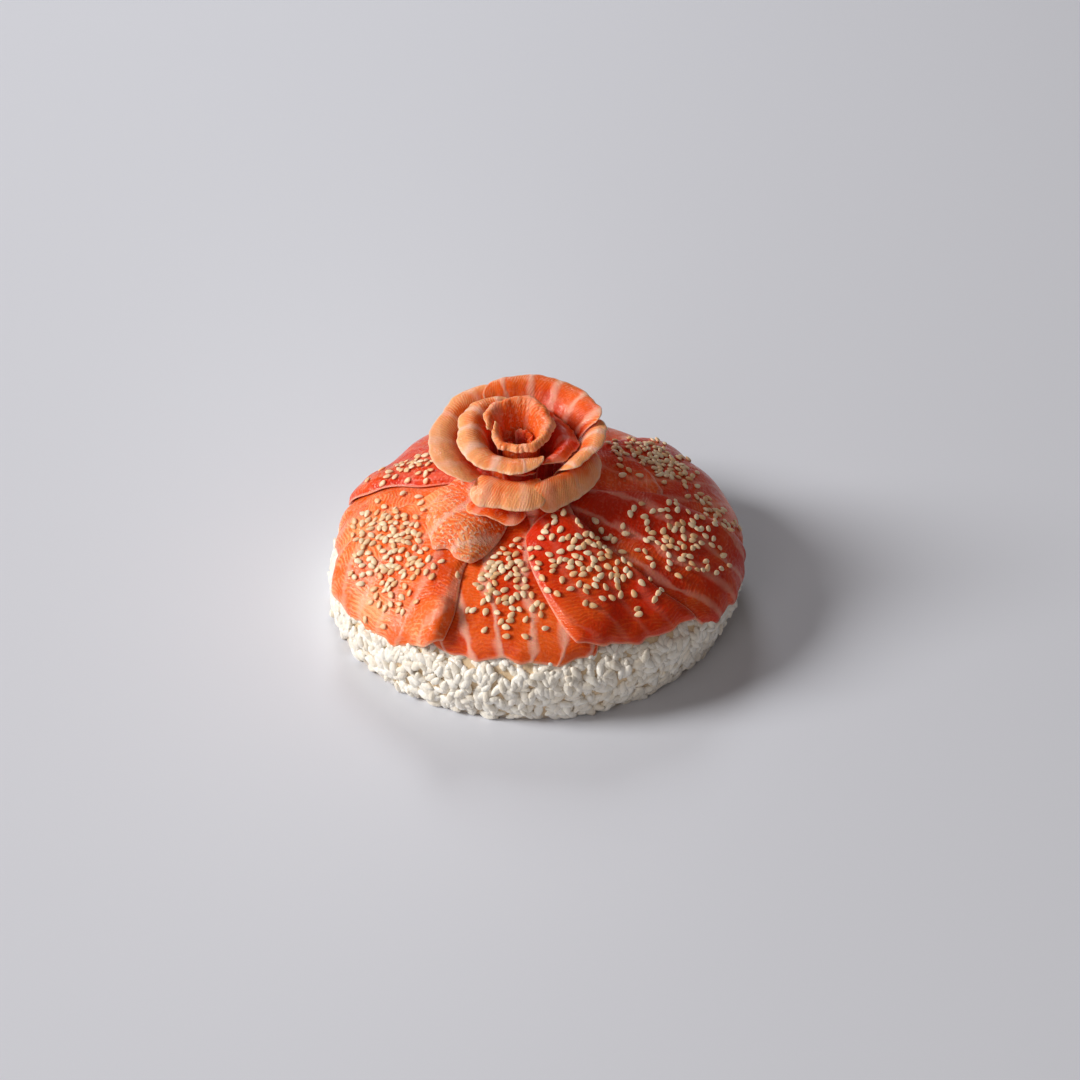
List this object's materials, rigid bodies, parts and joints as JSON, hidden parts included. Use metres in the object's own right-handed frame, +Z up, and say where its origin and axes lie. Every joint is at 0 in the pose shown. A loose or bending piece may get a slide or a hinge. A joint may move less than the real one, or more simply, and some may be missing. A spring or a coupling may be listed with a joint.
{
  "type": "salmon sushi cake",
  "caption": "Round pressed-rice sushi cake covered with overlapping raw salmon slices and sesame seeds, with a salmon rose on top; rests flat on its base.",
  "frame": {"origin": "centre of the whole object's box, on the face it rests on", "axes": "+Z up through the rose, +X to the right of the picture, +Y away from the viewer"},
  "size_m": [0.1595, 0.158, 0.0805],
  "materials": {
    "rice": "moist cooked short-grain rice, off-white and slightly see-through",
    "salmon": "wet raw salmon, orange with pale fat lines, toasted sesame seeds fused on",
    "petal": "wet raw salmon, lighter orange, thin ragged rims"
  },
  "bodies": {
    "root": {"rice": "rice", "slice_back": "salmon", "slice_back_right": "salmon", "slice_left": "salmon", "slice_right_back": "salmon", "slice_left_back": "salmon", "slice_right_inner": "salmon", "slice_right": "salmon", "slice_front": "salmon", "slice_left_front": "salmon", "slice_rose_leaf": "salmon", "slice_front_right": "salmon", "petal_heart": "petal", "petal_coil": "petal", "petal_ring": "petal", "petal_inner_right": "petal", "petal_inner_front": "petal", "petal_back": "petal", "petal_left": "petal", "petal_right": "petal", "petal_front": "petal", "petal_front_right": "petal", "petal_base": "petal"}
  },
  "joints": []
}
